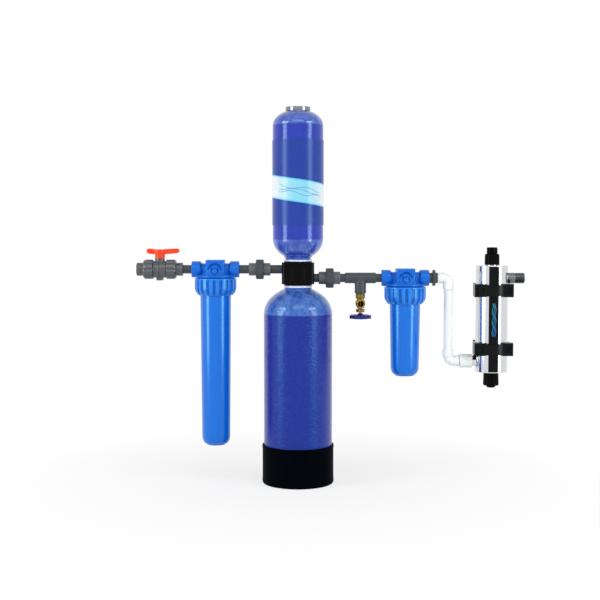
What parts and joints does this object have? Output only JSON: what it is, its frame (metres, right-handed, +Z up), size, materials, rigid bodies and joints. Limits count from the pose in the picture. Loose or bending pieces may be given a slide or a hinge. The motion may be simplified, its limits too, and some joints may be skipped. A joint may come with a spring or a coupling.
{
  "type": "whole house water filter",
  "caption": "Carbon tank water filter on a boot, with a supply ball valve, screw-on filter housings, a drain valve and an ultraviolet lamp unit in one pipe line.",
  "frame": {"origin": "middle of the underside of the boot that the tanks stand in", "axes": "+X along the pipes from the supply to the house, +Z up through both tanks, -Y towards the side with the drain nozzle"},
  "size_m": [1.1992, 0.223, 1.1663],
  "materials": {
    "tank_blue": "glossy blue resin over fine glass fibre winding",
    "boot_black": "matt moulded black",
    "label_blue": "printed glossy film",
    "gloss_black": "glossy black",
    "collar_white": "satin white",
    "chrome": "bright plating",
    "polished_steel": "polished stainless steel",
    "housing_blue": "glossy moulded blue",
    "pipe_grey": "satin grey",
    "handle_red": "glossy orange red",
    "pipe_white": "satin white",
    "brass": "cast and turned brass",
    "wheel_blue": "dark blue paint",
    "matt_black": "matt black",
    "quartz": "clear",
    "carbon": "loose black grains",
    "filter_fibre": "wound white fibre",
    "lamp_glass": "clear tube with white caps",
    "rubber": "black"
  },
  "bodies": {
    "frame": {"tank_boot": "boot_black", "lower_tank": "tank_blue", "upper_tank": "tank_blue", "riser_tube": "pipe_white", "upper_elbow": "pipe_white", "lower_elbow": "pipe_white", "uv_feed_pipe": "pipe_white", "uv_coupling": "pipe_white", "lower_media_bed": "carbon", "upper_media_bed": "carbon", "lower_neck_collar": "collar_white", "upper_neck_collar": "collar_white", "manifold": "gloss_black", "top_plug": "chrome", "label_sleeve": "label_blue", "manifold_inlet_pipe": "pipe_grey", "prefilter_pipe": "pipe_grey", "inlet_pipe": "pipe_grey", "manifold_outlet_pipe": "pipe_grey", "tee_inlet_pipe": "pipe_grey", "tee_outlet_pipe": "pipe_grey", "left_union_tail": "pipe_grey", "left_union_head": "pipe_grey", "left_union_nut": "pipe_grey", "right_union_tail": "pipe_grey", "right_union_head": "pipe_grey", "right_union_nut": "pipe_grey", "valve_body": "pipe_grey", "valve_end_inlet": "pipe_grey", "valve_end_outlet": "pipe_grey", "valve_nut_inlet": "pipe_grey", "valve_nut_outlet": "pipe_grey", "drain_tee": "pipe_grey", "outlet_adapter": "pipe_grey", "prefilter_head": "housing_blue", "postfilter_head": "housing_blue", "drain_valve_body": "brass", "drain_packing_nut": "brass", "uv_chamber": "polished_steel", "uv_outlet_nipple": "polished_steel", "quartz_sleeve": "quartz", "uv_lamp": "lamp_glass", "uv_top_gland_nut": "matt_black", "uv_bottom_gland_nut": "matt_black", "uv_lamp_connector": "matt_black", "uv_lower_clamp": "matt_black", "uv_upper_clamp": "matt_black"},
    "valve_turning_parts": {"valve_handle": "handle_red", "valve_stem": "pipe_grey", "valve_ball": "chrome"},
    "prefilter_bowl": {"prefilter_sump": "housing_blue", "prefilter_cartridge": "filter_fibre", "prefilter_seal": "rubber"},
    "prefilter_nut": {"prefilter_ring_nut": "housing_blue"},
    "postfilter_bowl": {"postfilter_sump": "housing_blue", "postfilter_cartridge": "filter_fibre", "postfilter_seal": "rubber"},
    "postfilter_nut": {"postfilter_ring_nut": "housing_blue"},
    "drain_spindle": {"drain_stem": "brass"},
    "drain_wheel": {"drain_handwheel": "wheel_blue"}
  },
  "joints": [
    {"name": "valve_handle_turn", "type": "hinge", "parent": "frame", "child": "valve_turning_parts", "pos_m": [-0.4275, 0, 0.6674], "axis": [0, 0, 1], "range_deg": [-90, 0]},
    {"name": "prefilter_bowl_drop", "type": "slide", "parent": "frame", "child": "prefilter_bowl", "axis": [0, 0, -1], "range_m": [0, 0.012]},
    {"name": "prefilter_nut_turn", "type": "hinge", "parent": "prefilter_bowl", "child": "prefilter_nut", "pos_m": [-0.2554, 0, 0.6124], "axis": [0, 0, -1], "range_deg": [0, 1080]},
    {"name": "postfilter_bowl_drop", "type": "slide", "parent": "frame", "child": "postfilter_bowl", "axis": [0, 0, -1], "range_m": [0, 0.012]},
    {"name": "postfilter_nut_turn", "type": "hinge", "parent": "postfilter_bowl", "child": "postfilter_nut", "pos_m": [0.332, 0, 0.5855], "axis": [0, 0, -1], "range_deg": [0, 1080]},
    {"name": "drain_spindle_drop", "type": "slide", "parent": "frame", "child": "drain_spindle", "axis": [0, 0, -1], "range_m": [0, 0.006]},
    {"name": "drain_wheel_turn", "type": "hinge", "parent": "drain_spindle", "child": "drain_wheel", "pos_m": [0.19335, 0, 0.52], "axis": [0, 0, -1], "range_deg": [0, 1080]}
  ],
  "couplings": [
    {"joint": "prefilter_bowl_drop", "follows": "prefilter_nut_turn", "m_per_rad": 0.00063662},
    {"joint": "postfilter_bowl_drop", "follows": "postfilter_nut_turn", "m_per_rad": 0.00063662},
    {"joint": "drain_spindle_drop", "follows": "drain_wheel_turn", "m_per_rad": 0.00031831}
  ]
}
